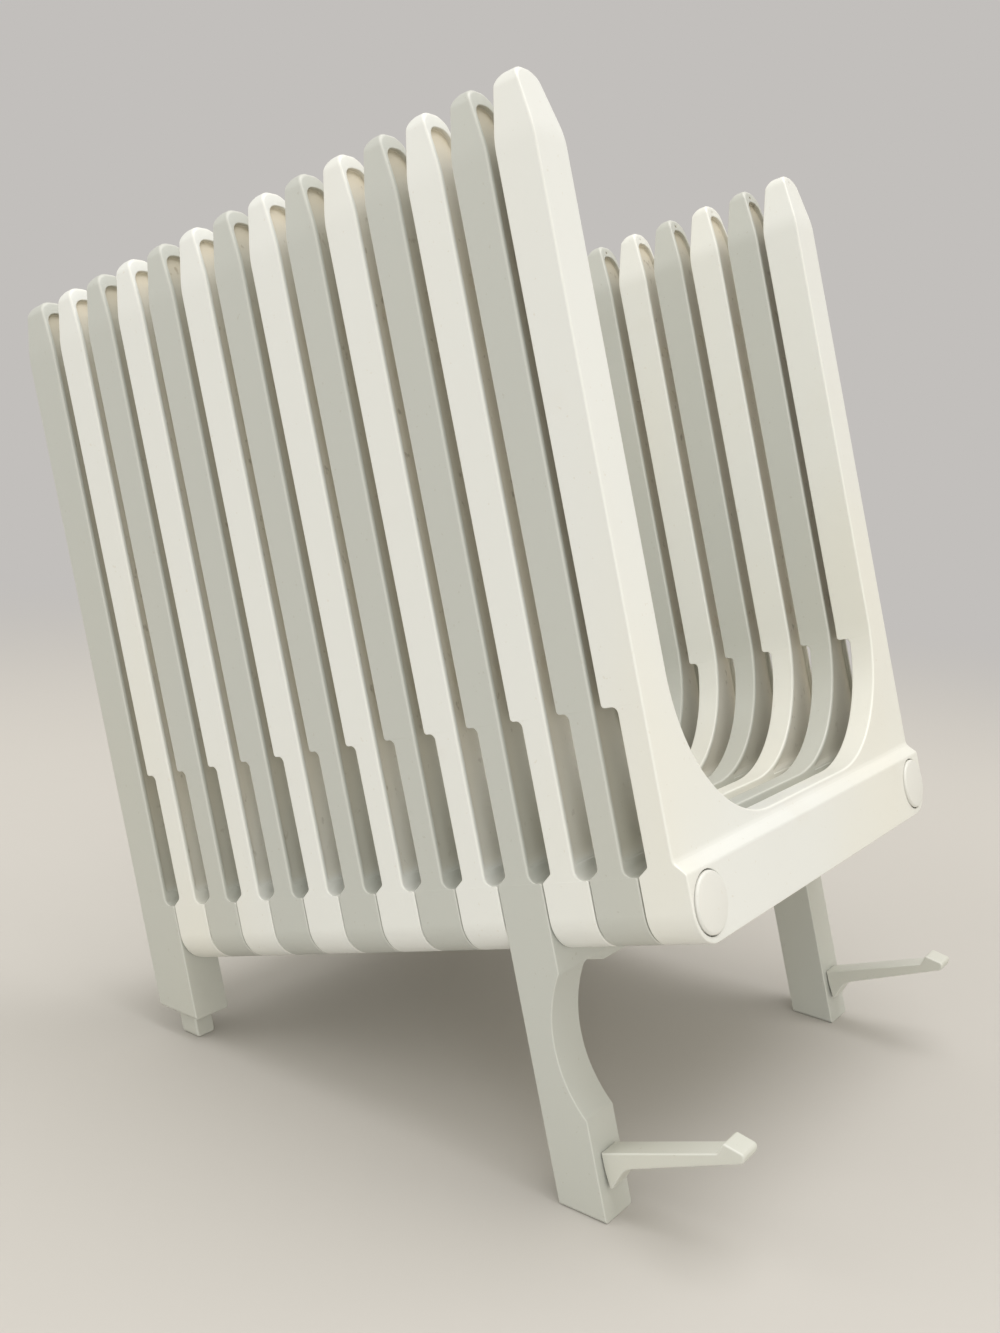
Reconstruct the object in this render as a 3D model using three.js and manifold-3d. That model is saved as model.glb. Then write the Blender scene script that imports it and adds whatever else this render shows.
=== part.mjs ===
// Bread slicing guide: a rack of U-shaped plastic frames with knife slots between them.
// The stack frame is x to the right, y to the back along the loaf, z up along the arms,
// with y = 0 on the parting plane behind the front frame. The whole stack leans back.
import * as THREE from 'three';
import { mergeVertices } from 'three/addons/utils/BufferGeometryUtils.js';
import Module from 'manifold-3d';

const wasm = await Module();
wasm.setup();

// Overall sizes, millimetres
const pitch = 12.7;
const frameCount = 14;
const stackWidth = 147.4;
const frameHeight = 190.2;
const partGap = 0.3;
const overrun = 1.0;

// Frame section, front to back
const slotSetback = 3.2;
const slotCut = 2.5;
const blockHeight = 17.0;
const blockTopRise = 2.0;
const slotFloorRadius = 2.2;
const stepHeight = 54.2;
const stepRadius = 1.6;
const frontBarThickness = 12.2;
const frontArmThickness = 9.5;
const ledgeRise = 2.6;
const rearExtra = 1.7;

// Frame outline, seen from the front
const armWidth = 12.3;
const cornerRadius = 8.7;
const troughRadius = 38.0;
const troughFloor = 21.4;

// Tips of the arms: each side runs from its knee to the peak by shares of that run and rise
const tipHeight = 14.4;
const tipPeakInset = 6.6;
const tipPeakDepth = 8.4;
const frontShares = [[0, 0], [0.44, 0.83], [0.58, 0.94], [0.76, 0.985], [1, 1]];
const backShares = [[0, 0], [0.49, 0.8], [0.62, 0.92], [0.8, 0.98], [1, 1]];
const innerShares = [[0, 0], [0.365, 0.72], [0.52, 0.87], [0.74, 0.97], [1, 1]];
const outerShares = [[0, 0], [0.095, 0.67], [0.22, 0.86], [0.5, 0.97], [1, 1]];

// Shallow pocket in the front face of every arm but the foremost
const pocketDepth = 1.1;
const pocketRim = 1.3;
const pocketTopRim = 3.0;

// Legs
const legWidth = 11.6;
const legDrop = 62.9;
const biteTop = 4.0;
const biteBottom = 38.6;
const biteDepth = 5.0;
const webDrop = 7.1;
const webEndDrop = 4.1;
const webEndRun = 10.2;
const rearLegWidth = 12.0;
const rearLegDrop = 16.0;
const legFrame = 11;
const biteSides = 64;

// Feet of the rear legs
const footWidth = 6.4;
const footDrop = 21.2;
const footBevel = 0.8;
const footStemRadius = 2.0;
const footStemLength = 7.0;
const footStemSides = 12;

// Tie bolts, washers, nuts and caps
const boltInset = 8.1;
const boltHeight = 8.9;
const boltRadius = 2.5;
const boltSides = 12;
const washerRadius = 5.2;
const washerThickness = 1.0;
const nutRadius = 4.6;
const nutThickness = 3.6;
const headThickness = 3.4;
const boltEnd = 1.0;
const hexSides = 6;
const wellRadius = 6.0;
const capRadius = 7.0;
const capSeatDepth = 1.4;
const capProud = 0.6;
const capRound = 0.6;
const capEdgeShare = 0.3;
const capPlug = 3.0;
const capSides = 28;

// Catch arms under the front legs
const catchInset = 2.6;
const catchWidth = 7.0;
const catchRootTop = 47.0;
const catchRise = 2.0;
const catchReach = 30.6;
const catchThickness = 3.6;
const catchTipThickness = 2.0;
const gussetDrop = 9.1;
const gussetRun = 5.4;
const barbRise = 2.4;
const barbRun = 1.9;
const barbLength = 6.6;
const barbDrop = 2.4;
const noseLength = 2.2;
const knuckleRadius = 1.8;
const knuckleDepth = 1.2;
const knuckleDrop = 50.8;
const knuckleSides = 16;
const flexAngle = 4;
const flexSpare = 1;

// Curve steps
const troughSteps = 9;
const cornerSteps = 5;
const roundSteps = 3;
const gussetSteps = 5;

// Derived places
const halfWidth = stackWidth / 2;
const boltX = halfWidth - boltInset;
const troughCentreX = halfWidth - armWidth - troughRadius;
const troughCentreZ = troughFloor + troughRadius;
const rearPlane = (frameCount - 1) * pitch + rearExtra;
const legFrontY = (frameCount - 1 - legFrame) * pitch;
const rearLegFrontY = (frameCount - 2) * pitch + partGap;
const footY = (rearLegFrontY + rearPlane) / 2;
const tilt = Math.atan2(legDrop - footDrop, footY - legFrontY);
const floorSlope = Math.tan(tilt);
const footX = halfWidth - rearLegWidth / 2;
const rearLegBottomAtFoot = alongFloor(-rearLegDrop, rearLegFrontY, footY);

// Depths of what sits on each tie bolt
const headFrontY = rearPlane - partGap - headThickness;
const rearWasherBackY = headFrontY - partGap;
const rearWasherFrontY = rearWasherBackY - washerThickness;
const rearWellFloorY = rearWasherFrontY - partGap;
const plugEndY = -frontBarThickness + capPlug;
const boltTipY = plugEndY + partGap;
const nutFrontY = boltTipY + boltEnd;
const nutBackY = nutFrontY + nutThickness;
const frontWasherFrontY = nutBackY + partGap;
const frontWasherBackY = frontWasherFrontY + washerThickness;
const frontWellFloorY = frontWasherBackY + partGap;

// Materials
const whitePlastic = { color: 0xe4e4dc, roughness: 0.42, metalness: 0 };
const greyPlastic = { color: 0xbcbdb2, roughness: 0.45, metalness: 0 };
const capPlastic = { color: 0xebe9e0, roughness: 0.35, metalness: 0 };
const catchPlastic = { color: 0xcfcfc2, roughness: 0.45, metalness: 0 };
const zincSteel = { color: 0xb4b6b8, roughness: 0.35, metalness: 0.9 };

// A closed manifold solid from any three.js geometry
function solid(geometry) {
  geometry.deleteAttribute('normal');
  geometry.deleteAttribute('uv');
  const merged = mergeVertices(geometry);
  const mesh = new wasm.Mesh({
    numProp: 3,
    vertProperties: new Float32Array(merged.attributes.position.array),
    triVerts: new Uint32Array(merged.index.array),
  });
  return new wasm.Manifold(mesh);
}

// A three.js geometry from a manifold solid
function toGeometry(body) {
  const mesh = body.getMesh();
  const geometry = new THREE.BufferGeometry();
  geometry.setAttribute('position', new THREE.BufferAttribute(mesh.vertProperties, 3));
  geometry.setIndex(new THREE.BufferAttribute(mesh.triVerts, 1));
  geometry.computeVertexNormals();
  return geometry;
}

// An outline of [x, z] points, extruded along y from one depth to another
function frontPrism(points, fromY, toY) {
  const shape = new THREE.Shape(points.map(([x, z]) => new THREE.Vector2(x, z)));
  const geometry = new THREE.ExtrudeGeometry(shape, { depth: toY - fromY, bevelEnabled: false });
  geometry.rotateX(Math.PI / 2);
  geometry.translate(0, toY, 0);
  return solid(geometry);
}

// An outline of [y, z] points, extruded along x from one side to another
function sidePrism(points, fromX, toX) {
  const shape = new THREE.Shape(points.map(([y, z]) => new THREE.Vector2(y, z)));
  const geometry = new THREE.ExtrudeGeometry(shape, { depth: toX - fromX, bevelEnabled: false });
  const axes = new THREE.Matrix4().makeBasis(
    new THREE.Vector3(0, 1, 0),
    new THREE.Vector3(0, 0, 1),
    new THREE.Vector3(1, 0, 0),
  );
  geometry.applyMatrix4(axes);
  geometry.translate(fromX, 0, 0);
  return solid(geometry);
}

// A round or many-sided bar along y
function barAlongY(radius, fromY, toY, x, z, sides) {
  const geometry = new THREE.CylinderGeometry(radius, radius, toY - fromY, sides);
  geometry.translate(x, (fromY + toY) / 2, z);
  return solid(geometry);
}

// A round bar along x
function barAlongX(radius, fromX, toX, y, z, sides) {
  const geometry = new THREE.CylinderGeometry(radius, radius, toX - fromX, sides);
  geometry.rotateZ(Math.PI / 2);
  geometry.translate((fromX + toX) / 2, y, z);
  return solid(geometry);
}

// Points along an arc, angles in degrees, both ends included
function arc(centreX, centreZ, radius, fromAngle, toAngle, steps) {
  const points = [];
  for (let i = 0; i <= steps; i += 1) {
    const angle = THREE.MathUtils.degToRad(fromAngle + ((toAngle - fromAngle) * i) / steps);
    points.push([centreX + radius * Math.cos(angle), centreZ + radius * Math.sin(angle)]);
  }
  return points;
}

// One side of an arm's end, from its knee to the peak, as shares of its run and rise
function tipCurve(shares, kneeAcross, peakAcross, peakUp) {
  const kneeUp = frameHeight - tipHeight;
  return shares.map(([across, up]) => [
    kneeAcross + (peakAcross - kneeAcross) * across,
    kneeUp + (peakUp - kneeUp) * up,
  ]);
}

// The same side, run from the peak down to the knee, without the peak itself
function tipCurveDown(shares, kneeAcross, peakAcross, peakUp) {
  return tipCurve(shares, kneeAcross, peakAcross, peakUp).reverse().slice(1);
}

function mirrored(points) {
  return points.map(([x, z]) => [-x, z]).reverse();
}

// The U of one frame seen from the front, from the right half and its mirror image
function uOutline() {
  const innerX = halfWidth - armWidth;
  const peakX = halfWidth - tipPeakInset;
  const right = [
    ...arc(halfWidth - cornerRadius, cornerRadius, cornerRadius, -90, 0, cornerSteps),
    ...tipCurve(outerShares, halfWidth, peakX, frameHeight),
    ...tipCurveDown(innerShares, innerX, peakX, frameHeight),
    ...arc(troughCentreX, troughCentreZ, troughRadius, 0, -90, troughSteps),
  ];
  return [...right, ...mirrored(right)];
}

// The section of a middle frame, seen from the right side, between its two parting planes
function middleSection(frontY, backY) {
  const faceY = frontY + slotSetback;
  const cutY = backY - slotCut;
  const peakY = frontY + tipPeakDepth;
  return [
    [frontY, 0],
    [backY, 0],
    [backY, blockHeight],
    [cutY, blockHeight + blockTopRise],
    ...stepCorner(cutY, backY),
    ...sideTip(faceY, peakY, backY),
    ...arc(faceY - slotFloorRadius, blockHeight + slotFloorRadius, slotFloorRadius, 0, -90, roundSteps),
    [frontY, blockHeight],
  ];
}

// The S-shaped step from the wide lower slot to the narrow upper one
function stepCorner(cutY, backY) {
  const under = arc(cutY + stepRadius, stepHeight - stepRadius, stepRadius, 180, 90, roundSteps);
  const over = arc(backY - stepRadius / 2, stepHeight + stepRadius / 2, stepRadius / 2, -90, 0, roundSteps);
  return [...under, ...over];
}

// The end of an arm seen from the side, from its back knee over the peak to its front knee
function sideTip(faceY, peakY, backY) {
  return [
    ...tipCurve(backShares, backY, peakY, frameHeight),
    ...tipCurveDown(frontShares, faceY, peakY, frameHeight),
  ];
}

// The section of the front frame: a thick bar at the bottom and a ledge under the arms
function frontSection(frontY, backY) {
  const faceY = backY + partGap - frontArmThickness;
  const cutY = backY - slotCut;
  const peakY = backY + partGap - pitch + tipPeakDepth;
  return [
    [frontY, 0],
    [backY, 0],
    [backY, blockHeight],
    [cutY, blockHeight + blockTopRise],
    ...stepCorner(cutY, backY),
    ...sideTip(faceY, peakY, backY),
    [faceY, blockHeight + ledgeRise],
    [frontY, blockHeight],
  ];
}

// The section of the rear frame: its back is one flat plane
function rearSection(frontY, backY) {
  const faceY = frontY + slotSetback;
  const peakY = frontY + tipPeakDepth;
  return [
    [frontY, 0],
    [backY, 0],
    ...sideTip(faceY, peakY, backY),
    ...arc(faceY - slotFloorRadius, blockHeight + slotFloorRadius, slotFloorRadius, 0, -90, roundSteps),
    [frontY, blockHeight],
  ];
}

// The outline of the pocket in one arm, down to where the trough cuts it to a point
function pocketOutline() {
  const outerX = halfWidth - pocketRim;
  const innerX = halfWidth - armWidth + pocketRim;
  const peakX = halfWidth - tipPeakInset;
  const topZ = frameHeight - pocketTopRim;
  const floorZ = blockHeight + slotFloorRadius + pocketRim;
  const radius = troughRadius + pocketRim;
  const lowest = THREE.MathUtils.radToDeg(Math.asin((floorZ - troughCentreZ) / radius));
  return [
    [outerX, floorZ],
    ...tipCurve(outerShares, outerX, peakX, topZ),
    ...tipCurveDown(innerShares, innerX, peakX, topZ),
    ...arc(troughCentreX, troughCentreZ, radius, 0, lowest, troughSteps),
  ];
}

function frontOf(number) {
  return (frameCount - 1 - number) * pitch;
}

// The plain body of one frame before legs, holes and wells
function frameBody(number) {
  const frontY = number === frameCount ? -frontBarThickness : frontOf(number);
  const backY = number === 1 ? rearPlane : frontOf(number) + pitch - partGap;
  const sections = { [frameCount]: frontSection, 1: rearSection };
  const section = (sections[number] ?? middleSection)(frontY, backY);
  const outline = frontPrism(uOutline(), frontY - overrun, backY + overrun);
  let body = outline.intersect(sidePrism(section, -halfWidth - overrun, halfWidth + overrun));
  if (number !== frameCount) {
    const faceY = frontY + slotSetback;
    const pocket = pocketOutline();
    body = body.subtract(frontPrism(pocket, faceY - overrun, faceY + pocketDepth));
    body = body.subtract(frontPrism(mirrored(pocket), faceY - overrun, faceY + pocketDepth));
  }
  return body;
}

// Clearance holes for the two tie bolts
function withBoltHoles(body) {
  let result = body;
  for (const side of [-1, 1]) {
    const hole = barAlongY(
      boltRadius + partGap * 1.5,
      -frontBarThickness - overrun,
      rearPlane + overrun,
      side * boltX,
      boltHeight,
      boltSides,
    );
    result = result.subtract(hole);
  }
  return result;
}

// Round wells for the nuts and caps at the front, and for the bolt heads at the back
function withWells(body, radius, fromY, toY) {
  let result = body;
  for (const side of [-1, 1]) {
    result = result.subtract(barAlongY(radius, fromY, toY, side * boltX, boltHeight, capSides));
  }
  return result;
}

// A height on the slanted plane that is parallel to the table, from a height at one depth
function alongFloor(heightAtStart, startY, y) {
  return heightAtStart + (y - startY) * floorSlope;
}

// The side outline of a leg between two depths, cut parallel to the table at its lower end
function legSection(frontY, backY, drop, topZ) {
  return [
    [frontY, -drop],
    [backY, alongFloor(-drop, frontY, backY)],
    [backY, topZ],
    [frontY, topZ],
  ];
}

// The round bite in the front of the left leg
function biteCutter(legFaceY) {
  const halfChord = (biteBottom - biteTop) / 2;
  const radius = (halfChord * halfChord + biteDepth * biteDepth) / (2 * biteDepth);
  const centreZ = -(biteTop + biteBottom) / 2;
  const centreY = legFaceY + biteDepth - radius;
  return barAlongX(radius, -halfWidth - overrun, -halfWidth + legWidth + overrun, centreY, centreZ, biteSides);
}

// The socket in a leg's front face for the knuckle of its catch arm
function catchSocket(side) {
  const outer = halfWidth - catchInset + partGap;
  const inner = halfWidth - catchInset - catchWidth - partGap;
  const [fromX, toX] = side > 0 ? [inner, outer] : [-outer, -inner];
  const radius = knuckleRadius + partGap * 1.2;
  return barAlongX(radius, fromX, toX, legFrontY + knuckleDepth, -knuckleDrop, knuckleSides);
}

// The deeper cross web between the front legs
function webOutline(topZ) {
  const innerX = halfWidth - legWidth + overrun;
  const flatX = halfWidth - legWidth - webEndRun;
  const right = [[flatX, -webDrop], [innerX, -webEndDrop], [innerX, topZ]];
  return [...right, ...mirrored(right)];
}

function frontLegFrame() {
  const backY = legFrontY + pitch - partGap;
  const topZ = blockHeight - slotFloorRadius;
  const section = legSection(legFrontY, backY, legDrop, topZ);
  let body = frameBody(legFrame);
  body = body.add(sidePrism(section, -halfWidth, -halfWidth + legWidth));
  body = body.add(sidePrism(section, halfWidth - legWidth, halfWidth));
  body = body.add(frontPrism(webOutline(topZ), legFrontY, backY));
  body = body.subtract(biteCutter(legFrontY));
  body = body.subtract(catchSocket(-1)).subtract(catchSocket(1));
  return withBoltHoles(body);
}

function rearLegFrame() {
  const topZ = blockHeight - slotFloorRadius;
  const section = legSection(rearLegFrontY, rearPlane, rearLegDrop, topZ);
  let body = frameBody(1);
  body = body.add(sidePrism(section, -halfWidth, -halfWidth + rearLegWidth));
  body = body.add(sidePrism(section, halfWidth - rearLegWidth, halfWidth));
  for (const side of [-1, 1]) {
    body = body.subtract(footSocket(side));
  }
  return withWells(withBoltHoles(body), wellRadius, rearWellFloorY, rearPlane + overrun);
}

// An upright round bar under a rear leg
function uprightBar(radius, fromZ, toZ, x) {
  const geometry = new THREE.CylinderGeometry(radius, radius, toZ - fromZ, footStemSides);
  geometry.rotateX(Math.PI / 2);
  geometry.translate(x, footY, (fromZ + toZ) / 2);
  return solid(geometry);
}

function footSocket(side) {
  const topZ = rearLegBottomAtFoot + footStemLength + partGap;
  return uprightBar(footStemRadius + partGap * 1.2, -rearLegDrop - overrun, topZ, side * footX);
}

// One foot: a small block under the leg with a stem up into it
function rearFoot(side) {
  const half = footWidth / 2;
  const frontY = footY - half;
  const backY = footY + half;
  const floorZ = (y) => alongFloor(-footDrop, footY, y);
  const topZ = (y) => alongFloor(rearLegBottomAtFoot - partGap, footY, y);
  const section = [
    [frontY, floorZ(frontY) + footBevel],
    [frontY + footBevel, floorZ(frontY + footBevel)],
    [backY - footBevel, floorZ(backY - footBevel)],
    [backY, floorZ(backY) + footBevel],
    [backY, topZ(backY)],
    [frontY, topZ(frontY)],
  ];
  const centreX = side * footX;
  const front = [
    [centreX - half, -footDrop + footBevel * 2],
    [centreX - half + footBevel, -footDrop - half],
    [centreX + half - footBevel, -footDrop - half],
    [centreX + half, -footDrop + footBevel * 2],
    [centreX + half, rearLegBottomAtFoot + half],
    [centreX - half, rearLegBottomAtFoot + half],
  ];
  const block = sidePrism(section, centreX - half, centreX + half).intersect(
    frontPrism(front, frontY - overrun, backY + overrun),
  );
  const stem = uprightBar(
    footStemRadius,
    (rearLegBottomAtFoot - footDrop) / 2,
    rearLegBottomAtFoot + footStemLength,
    centreX,
  );
  return block.add(stem);
}

function frontFrame() {
  const mouthY = -frontBarThickness - overrun;
  const body = withWells(withBoltHoles(frameBody(frameCount)), wellRadius, mouthY, frontWellFloorY);
  return withWells(body, capRadius + partGap, mouthY, -frontBarThickness + capSeatDepth);
}

function tieBolt(side) {
  const x = side * boltX;
  const shank = barAlongY(boltRadius, boltTipY, headFrontY + overrun, x, boltHeight, boltSides);
  return shank.add(barAlongY(nutRadius, headFrontY, rearPlane - partGap, x, boltHeight, hexSides));
}

// A washer or nut: a bar with a clearance hole for the bolt
function ringOnBolt(side, radius, fromY, toY, sides) {
  const x = side * boltX;
  const hole = barAlongY(boltRadius + partGap * 1.5, fromY - overrun, toY + overrun, x, boltHeight, boltSides);
  return barAlongY(radius, fromY, toY, x, boltHeight, sides).subtract(hole);
}

// A cap: a low round button with a softened edge, on a plug that fills the well's mouth
function endCap(side) {
  const faceY = -frontBarThickness - capProud;
  const seatY = -frontBarThickness + capSeatDepth - partGap;
  const profile = [
    [0, 0],
    [capRadius - capRound, 0],
    [capRadius - capRound * capEdgeShare, capRound * (1 - capEdgeShare)],
    [capRadius, capRound],
    [capRadius, seatY - faceY],
    [wellRadius - partGap, seatY - faceY],
    [wellRadius - partGap, plugEndY - faceY],
    [0, plugEndY - faceY],
  ];
  const geometry = new THREE.LatheGeometry(
    profile.map(([radius, depth]) => new THREE.Vector2(radius, depth)),
    capSides,
  );
  geometry.translate(side * boltX, faceY, boltHeight);
  return solid(geometry);
}

// A catch arm: a tapering finger with a gusset at its root and a barb near its nose
function catchArm(side) {
  const faceY = legFrontY - partGap;
  const tipY = legFrontY - catchReach;
  const topRoot = -catchRootTop;
  const topTip = topRoot + catchRise;
  const relief = Math.tan(THREE.MathUtils.degToRad(flexAngle + flexSpare));
  const gussetFootZ = topRoot - gussetDrop;
  const gussetFootY = faceY - (-knuckleDrop - gussetFootZ) * relief;
  const underRootZ = topRoot - catchThickness;
  const curve = [];
  for (let i = 0; i <= gussetSteps; i += 1) {
    const angle = (Math.PI / 2) * (i / gussetSteps);
    curve.push([
      gussetFootY - gussetRun * (1 - Math.cos(angle)),
      gussetFootZ + (underRootZ - gussetFootZ) * Math.sin(angle),
    ]);
  }
  const section = [
    [faceY, -knuckleDrop],
    [faceY, topRoot],
    [tipY, topTip],
    [tipY - barbRun, topTip + barbRise],
    [tipY - barbLength, topTip + barbRise - barbDrop],
    [tipY - barbLength - noseLength / 4, topTip + barbRise - barbDrop - noseLength / 2],
    [tipY - barbLength + noseLength / 4, topTip - catchTipThickness],
    ...curve.reverse(),
  ];
  const outer = halfWidth - catchInset;
  const inner = outer - catchWidth;
  const [fromX, toX] = side > 0 ? [inner, outer] : [-outer, -inner];
  const arm = sidePrism(section.reverse(), fromX, toX);
  const knuckle = barAlongX(knuckleRadius, fromX, toX, legFrontY + knuckleDepth, -knuckleDrop, knuckleSides);
  return arm.add(knuckle);
}

const stack = new THREE.Group();

function addPiece(name, body, look) {
  const mesh = new THREE.Mesh(toGeometry(body), new THREE.MeshStandardMaterial(look));
  mesh.name = name;
  stack.add(mesh);
}

// Frames, numbered from the rear: odd ones grey, even ones white
function frameName(number) {
  const shade = number % 2 === 1 ? 'grey' : 'white';
  return `${shade}_frame_${String(number).padStart(2, '0')}`;
}

addPiece('rear_leg_frame', rearLegFrame(), greyPlastic);
for (let number = 2; number < frameCount; number += 1) {
  if (number !== legFrame) {
    const look = number % 2 === 1 ? greyPlastic : whitePlastic;
    addPiece(frameName(number), withBoltHoles(frameBody(number)), look);
  }
}
addPiece('front_leg_frame', frontLegFrame(), greyPlastic);
addPiece('front_frame', frontFrame(), whitePlastic);

for (const [word, side] of [['left', -1], ['right', 1]]) {
  addPiece(`${word}_tie_bolt`, tieBolt(side), zincSteel);
  addPiece(
    `${word}_rear_washer`,
    ringOnBolt(side, washerRadius, rearWasherFrontY, rearWasherBackY, capSides),
    zincSteel,
  );
  addPiece(
    `${word}_front_washer`,
    ringOnBolt(side, washerRadius, frontWasherFrontY, frontWasherBackY, capSides),
    zincSteel,
  );
  addPiece(`${word}_nut`, ringOnBolt(side, nutRadius, nutFrontY, nutBackY, hexSides), zincSteel);
  addPiece(`${word}_end_cap`, endCap(side), capPlastic);
  addPiece(`${word}_catch_arm`, catchArm(side), catchPlastic);
  addPiece(`${word}_rear_foot`, rearFoot(side), greyPlastic);
}

// Lean the stack back, then stand it on z = 0 with its box centred
stack.rotation.x = -tilt;
stack.updateMatrixWorld(true);
const box = new THREE.Box3().setFromObject(stack, true);
const guide = new THREE.Group();
guide.add(stack);
stack.position.set(0, -(box.min.y + box.max.y) / 2, -box.min.z);

export default guide;
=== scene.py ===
"""Bread slicing guide: fourteen moulded U frames on two tie bolts, with catch arms and small feet.

The frames, caps, catch arms and feet are surfaces worked out with numpy in the stack's own frame:
x to the right, y to the back along the loaf, z up along the arms, in millimetres, with y = 0 on the
parting plane behind the front frame. Stack.place leans that frame back and stands it on the table.
"""

from __future__ import annotations

import logging
import math
from dataclasses import dataclass, field
from enum import Enum
from typing import Callable

import bmesh
import bpy
import numpy as np
from mathutils import Matrix, Vector
from mathutils.geometry import delaunay_2d_cdt

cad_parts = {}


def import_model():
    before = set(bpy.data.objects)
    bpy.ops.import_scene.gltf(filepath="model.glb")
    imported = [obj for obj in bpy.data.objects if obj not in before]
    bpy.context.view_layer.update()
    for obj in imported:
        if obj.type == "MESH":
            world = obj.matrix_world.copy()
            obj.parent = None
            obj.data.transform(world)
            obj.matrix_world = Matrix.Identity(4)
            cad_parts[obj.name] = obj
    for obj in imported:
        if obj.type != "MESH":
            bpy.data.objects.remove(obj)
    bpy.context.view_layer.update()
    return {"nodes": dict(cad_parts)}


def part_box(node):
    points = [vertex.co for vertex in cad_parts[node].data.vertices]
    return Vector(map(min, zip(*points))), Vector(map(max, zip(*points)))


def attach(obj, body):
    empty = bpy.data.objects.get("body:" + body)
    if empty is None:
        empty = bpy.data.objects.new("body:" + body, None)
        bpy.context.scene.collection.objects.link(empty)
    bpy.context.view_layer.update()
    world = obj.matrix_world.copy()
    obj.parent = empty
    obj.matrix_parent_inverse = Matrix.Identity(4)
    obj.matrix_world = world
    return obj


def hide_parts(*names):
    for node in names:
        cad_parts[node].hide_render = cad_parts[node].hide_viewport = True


LOG = logging.getLogger("bread_guide")
MM = 0.001

LEVEL_RISE = 1e-12  # an edge that rises less than this runs level
SAME_SHARE = 1e-6  # shares and lengths closer than this are the same
ON_LEVEL = 1e-7  # how near a point counts as lying on a level or an edge
HAIR = 1e-3  # climb given to the level stretches of a profile
FULL_RADIUS = 8.0  # arcs of this radius or more get all their steps
FEWEST_STEPS = 0.35  # the share of the steps that the smallest arcs keep
LEAST_SPREAD = 0.35  # keeps the mitre of a very sharp corner short
FAR_BELOW = -100.0  # a height below every piece, millimetres

Array = np.ndarray
Depth = Callable[[Array, Array], Array]
Pair = tuple[float, float]
Triple = tuple[float, float, float]
Corners = list[Triple]
Colour = tuple[int, int, int]

SIDES = (("left", -1), ("right", 1))


class Slot(Enum):
    """The record's material slots."""

    WHITE = "white_plastic"
    GREY = "grey_plastic"
    CAP = "cap_plastic"
    CATCH = "catch_plastic"
    STEEL = "zinc_steel"


@dataclass(frozen=True)
class Stack:
    """The sizes that all pieces share, in millimetres."""

    pitch: float = 12.7
    count: int = 14
    width: float = 147.4
    height: float = 190.2
    gap: float = 0.3
    block: float = 17.0
    bar: float = 12.2
    rear_extra: float = 1.7
    rear_frame: int = 1
    leg_frame: int = 11
    leg_drop: float = 62.9
    foot_drop: float = 21.2
    rear_leg: float = 12.0
    rear_drop: float = 16.0
    bolt_inset: float = 8.1
    bolt_height: float = 8.9

    @property
    def half(self) -> float:
        """Half the width of the stack."""
        return self.width / 2

    @property
    def rear(self) -> float:
        """Depth of the flat back of the rear frame."""
        return (self.count - 1) * self.pitch + self.rear_extra

    @property
    def leg_front(self) -> float:
        """Depth of the front face of the front legs."""
        return self.front_of(self.leg_frame)

    @property
    def rear_leg_front(self) -> float:
        """Depth of the front face of the rear legs."""
        return (self.count - 2) * self.pitch + self.gap

    @property
    def foot_depth(self) -> float:
        """Depth of the middle of the rear feet."""
        return (self.rear_leg_front + self.rear) / 2

    @property
    def tilt(self) -> float:
        """Lean of the stack, set by the long front legs and the short rear ones."""
        return math.atan2(self.leg_drop - self.foot_drop, self.foot_depth - self.leg_front)

    @property
    def slope(self) -> float:
        """Rise of the table per millimetre of depth, seen in the stack's frame."""
        return math.tan(self.tilt)

    def front_of(self, number: int) -> float:
        """Depth of the parting plane in front of a frame, numbered from the rear."""
        return (self.count - 1 - number) * self.pitch

    def place(self, points: Array) -> Array:
        """Lean points back, stand them on the table and turn millimetres into metres.

        Args:
            points: rows of x, y, z in the stack's frame.

        Returns:
            Rows of x, y, z in the row frame, in metres.
        """
        cos, sin = math.cos(self.tilt), math.sin(self.tilt)
        lowest_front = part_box("front_frame")[0].y / MM
        shift_y = lowest_front + self.bar * cos
        shift_z = self.leg_drop * cos + self.leg_front * sin
        x, y, z = np.asarray(points, float).T
        return np.column_stack([x, y * cos + z * sin + shift_y, z * cos - y * sin + shift_z]) * MM


STACK = Stack()


def rounded(corners: Corners, steps: int = 6, closed: bool = True) -> Array:
    """Replace the corners of an outline by arcs.

    A corner with turn angle t and radius r starts its arc r * tan(t / 2) before the corner; the arc
    is the start point turned about its centre by t, in complex numbers.

    Args:
        corners: (a, b, radius) of each corner in order.
        steps: arc pieces for a quarter turn of a full radius; smaller arcs get fewer.
        closed: whether the last corner joins the first; the ends of an open outline stay sharp.

    Returns:
        Rows of a, b.
    """
    points = np.array([complex(a, b) for a, b, _ in corners])
    radii = [r for _, _, r in corners]
    before, after = np.roll(points, 1), np.roll(points, -1)
    pieces = []
    for i, (point, radius) in enumerate(zip(points, radii)):
        is_end = not closed and i in (0, len(points) - 1)
        if radius <= 0 or is_end:
            pieces.append(np.array([point]))
            continue
        arriving = (point - before[i]) / abs(point - before[i])
        leaving = (after[i] - point) / abs(after[i] - point)
        turn = np.angle(leaving / arriving)
        start = point - arriving * radius * math.tan(abs(turn) / 2)
        centre = start + arriving * 1j * np.sign(turn) * radius
        fineness = min(1.0, max(FEWEST_STEPS, math.sqrt(radius / FULL_RADIUS)))
        count = max(2, round(steps * fineness * abs(turn) / (math.pi / 2)))
        share = np.linspace(0, 1, count + 1)
        pieces.append(centre + (start - centre) * np.exp(1j * turn * share))
    line = np.concatenate(pieces)
    return np.column_stack([line.real, line.imag])


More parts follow.
